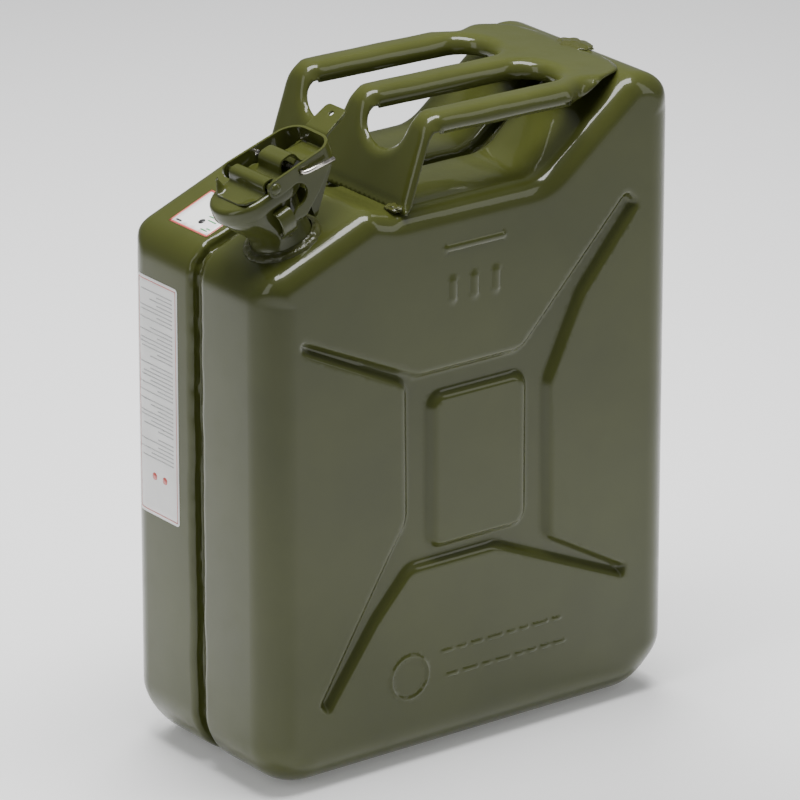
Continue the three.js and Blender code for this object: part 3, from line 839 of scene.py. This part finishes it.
def thumb_tab(rear_u):
    """The tab at the lever's rear wall: it rises with the wall, then leans back, and has a hole."""
    line = rounded([(rear_u, 46, 0), (rear_u, 54, 4), (73, 59.6, 0)], 8, False)
    at, length = path_frame(subdivided(line, 1.2, False))
    outline = rounded([(0, -12.5, 0), (length, -10.5, 4), (length, 10.5, 4), (0, 12.5, 0)], 12)
    flat, triangles = filled(subdivided(outline, 1.3), [circle(length - 6.5, 0, 1.9)], 1.3)
    points = []
    for s, v in flat:
        here, _, _ = at(s)
        points.append((here.x, v, here.y))
    made = sheet_piece("lever_tab", points, triangles, 1.9, 0, 0.45, 3)
    finish_piece(made, "lever", "olive_paint")


lever()


def axle():
    """The lever's axle with a domed rivet head at each end."""
    line = [(AXLE_U, -ARM_OUT - 1.2, AXLE_W), (AXLE_U, ARM_OUT + 1.2, AXLE_W)]
    made = tube("axle_skin", line, 2.4, OLIVE, TILT)
    finish_piece(made, "lid", "olive_paint", "lever_axle")
    rings, around = 7, 24
    for side in (-1, 1):
        points = []
        for k in range(rings):
            angle = math.pi / 2 * k / (rings - 1)
            radius, lift = 4.1 * math.cos(angle) + 0.02, 2.1 * math.sin(angle)
            for j in range(around):
                turn = 2 * math.pi * j / around
                u, w = AXLE_U + radius * math.cos(turn), AXLE_W + radius * math.sin(turn)
                points.append((u, side * (ARM_OUT + 0.6 + lift), w))
        faces = rings_faces(around, rings)
        faces += [tuple(range(around)), tuple(range((rings - 1) * around, rings * around))]
        head = piece("rivet_right" if side < 0 else "rivet_left", points, faces, OLIVE, TILT, 60)
        finish_piece(head, "lid", "olive_paint")


axle()
leg = -ARM_OUT - 3.2
pin = tube(
    "safety_pin_wire",
    [(SAFETY_U, 27.4, SAFETY_W), (SAFETY_U, leg, SAFETY_W), (SAFETY_U + 24.8, leg, SAFETY_W - 4.2)],
    1.55, STEEL, TILT, 3.2)
finish_piece(pin, "safety_pin", "bare_steel", "safety_pin")


def lug(side):
    """Bent strip welded to the neck's side, with a roof over the lever's claw."""
    line = rounded([(20, 15, 0), (25, 18, 3), (27.2, 25, 4), (26.4, 33, 3), (20.6, 33.2, 0)], 10, False)
    line = subdivided(line, 1.5, False)
    at, length = path_frame(line)
    outline = rounded([(0, -11, 1), (length, -11, 2), (length, 0, 2), (0, 0, 1)], 15)
    flat, triangles = filled(subdivided(outline, 1.5), [], 1.5)
    points = []
    for s, u in flat:
        here, _, _ = at(s)
        points.append((u, side * here.x, here.y))
    node = "lug_right" if side < 0 else "lug_left"
    made = sheet_piece(f"{node}_skin", points, triangles, 1.5, -1 if side > 0 else 1, 0.4, 2)
    finish_piece(made, "can", "olive_paint", node)


lug(-1)
lug(1)
blob("lug_weld", (-5, -20.5, 15), (6, 2.5, 3), 5, place=TILT)

# ---- Labels ----------------------------------------------------------------------------------------
def wrapped(y):
    """A point on the front wall, as (x, y), y millimetres from the seam along the sheet."""
    flat = HALF_WIDTH - SIDE_FILLET
    if y <= flat:
        return FRONT_X, y
    angle = (y - flat) / SIDE_FILLET
    return FRONT_X + SIDE_FILLET * (1 - math.cos(angle)), flat + SIDE_FILLET * math.sin(angle)


def front_patch(name, corners, lift, mat, *nodes):
    """A thin film on the front wall, from its outline in (y, z)."""
    flat, triangles = filled(subdivided(corners, 3), [], 4)
    points = []
    for y, z in flat:
        x, across = wrapped(y)
        points.append((x - lift, across, z))
    made = piece(name, points, triangles, mat)
    modify(made, "SOLIDIFY", thickness=0.1 * MM, offset=0)
    finish_piece(made, "can", "label_film", *nodes)


def top_patch(name, corners, lift, mat, *nodes):
    """A thin film on the sloped platform, from its outline in the spout's u and the can's y."""
    flat, triangles = filled(subdivided(corners, 4), [], 5)
    points = [(u, v - SPOUT.y, lift) for u, v in flat]
    made = piece(name, points, triangles, mat, TILT)
    modify(made, "SOLIDIFY", thickness=0.08 * MM, offset=0)
    finish_piece(made, "can", "label_film", *nodes)


def rectangle(a0, a1, b0, b1, radius=0.0):
    return rounded([(a0, b0, radius), (a1, b0, radius), (a1, b1, radius), (a0, b1, radius)], 15)


def border(low_a, high_a, low_b, high_b, width):
    """Four bars along a rectangle's sides: two across, then two along b."""
    return [
        rectangle(low_a, high_a, high_b - width, high_b),
        rectangle(low_a, high_a, low_b, low_b + width),
        rectangle(low_a, low_a + width, low_b, high_b),
        rectangle(high_a - width, high_a, low_b, high_b),
    ]


def labels():
    """Two printed films with plain bars and dots in place of text."""
    film_lift, ink_lift = 0.15, 0.24
    front_patch("front_label_film", rectangle(20, 68, 168, 338, 3), film_lift, FILM, "front_label")
    for k, bar in enumerate(border(22, 66, 170, 336, 0.6)):
        front_patch(f"front_border_{k}", bar, ink_lift, RED_INK)
    z = 328.0
    row = 0
    while z > 208:
        length = rng.choice((18, 26, 34, 36, 38))
        if row % 9 != 8:
            front_patch(f"front_line_{row}", rectangle(26, 26 + length, z, z + 0.9), ink_lift, GREY_INK)
        z -= 2.9
        row += 1
    for k, y in enumerate((34, 46)):
        front_patch(f"front_mark_{k}", rectangle(y, y + 5, 194, 199, 2), ink_lift, RED_INK)
    low_u, high_u, low_y, high_y = -25, 13, 10.5, 54
    top_patch("top_label_film", rectangle(low_u, high_u, low_y, high_y, 1), film_lift, FILM, "top_label")
    far, near, *ends = border(low_u, high_u, low_y, high_y, 1.5)
    for k, bar in enumerate([near, far, *ends]):
        top_patch(f"top_border_{k}", bar, ink_lift, RED_INK)
    for k, (u, y, length) in enumerate([(-12, 17, 9), (-8.5, 17, 12), (-21, 16, 7), (-19, 15, 4)]):
        top_patch(f"top_line_{k}", rectangle(u, u + 1, y, y + length), ink_lift, GREEN_INK)
    top_patch("top_dot", rectangle(-17, -12, 27, 32, 2.4), ink_lift, DARK_INK)
    top_patch("top_stroke", rectangle(-22, -20.6, 44, 50, 0.6), ink_lift, DARK_INK)


labels()

# ---- CAD nodes that stay ---------------------------------------------------------------------------
KEPT = {"breather_tube": STEEL, "hinge_pin": STEEL, "hinge_bracket": OLIVE, "lid_gasket": RUBBER}
for node, mat in KEPT.items():
    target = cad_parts[node]
    target.data.materials.clear()
    target.data.materials.append(mat)

# ---- Stage, light and camera -----------------------------------------------------------------------
floor_mat, floor_shader = material("pale_floor", (0.93, 0.93, 0.93), 0.9)
tint(floor_mat, floor_shader, texture(floor_mat, 3, 2), (0.94, 0.94, 0.94), (0.92, 0.92, 0.92))
floor_shader.inputs["Emission Color"].default_value = (1, 1, 1, 1)
floor_shader.inputs["Emission Strength"].default_value = 0.15
floor_data = bpy.data.meshes.new("floor")
floor_data.from_pydata([(-8, -8, 0), (8, -8, 0), (8, 8, 0), (-8, 8, 0)], [], [(0, 1, 2, 3)])
floor_data.materials.append(floor_mat)
floor = bpy.data.objects.new("floor", floor_data)
bpy.context.collection.objects.link(floor)


def softbox(name, azimuth, elevation, distance, width, height, power):
    """An area light that looks at the can's middle, placed like a camera by azimuth and elevation."""
    data = bpy.data.lights.new(name, "AREA")
    data.shape = "RECTANGLE"
    data.size, data.size_y, data.energy = width, height, power
    lamp = bpy.data.objects.new(name, data)
    bpy.context.collection.objects.link(lamp)
    a, e = math.radians(azimuth), math.radians(elevation)
    back = Vector((math.sin(a) * math.cos(e), -math.cos(a) * math.cos(e), math.sin(e)))
    lamp.location = Vector((0, 0, 0.23)) + back * distance
    lamp.rotation_euler = (-back).to_track_quat("-Z", "Y").to_euler()
    return lamp


softbox("key", -84, 28, 1.8, 0.6, 1.5, 6)
softbox("side", 44, 26, 2.0, 0.4, 1.7, 4)
softbox("top", -20, 84, 1.3, 0.9, 0.5, 25)
softbox("rear", 160, 55, 1.8, 1.4, 1.0, 40).visible_glossy = False

world = bpy.data.worlds.new("studio")
bpy.context.scene.world = world
world.use_nodes = True
backdrop = world.node_tree.nodes["Background"]
backdrop.inputs["Color"].default_value = (0.95, 0.97, 1, 1)
backdrop.inputs["Strength"].default_value = 0.2

CAMERA_AZIMUTH, CAMERA_ELEVATION = math.radians(-36.8), math.radians(20.8)
CAMERA_TARGET = Vector((0.0035, 0, 0.2275))
CAMERA_LENS, CAMERA_DISTANCE = 305.0, 4.62
camera_data = bpy.data.cameras.new("camera")
camera_data.lens = CAMERA_LENS
camera_data.clip_end = 100
camera = bpy.data.objects.new("camera", camera_data)
bpy.context.collection.objects.link(camera)
back = Vector((
    math.sin(CAMERA_AZIMUTH) * math.cos(CAMERA_ELEVATION),
    -math.cos(CAMERA_AZIMUTH) * math.cos(CAMERA_ELEVATION),
    math.sin(CAMERA_ELEVATION),
))
camera.location = CAMERA_TARGET + back * CAMERA_DISTANCE
camera.rotation_euler = (-back).to_track_quat("-Z", "Y").to_euler()
bpy.context.scene.camera = camera
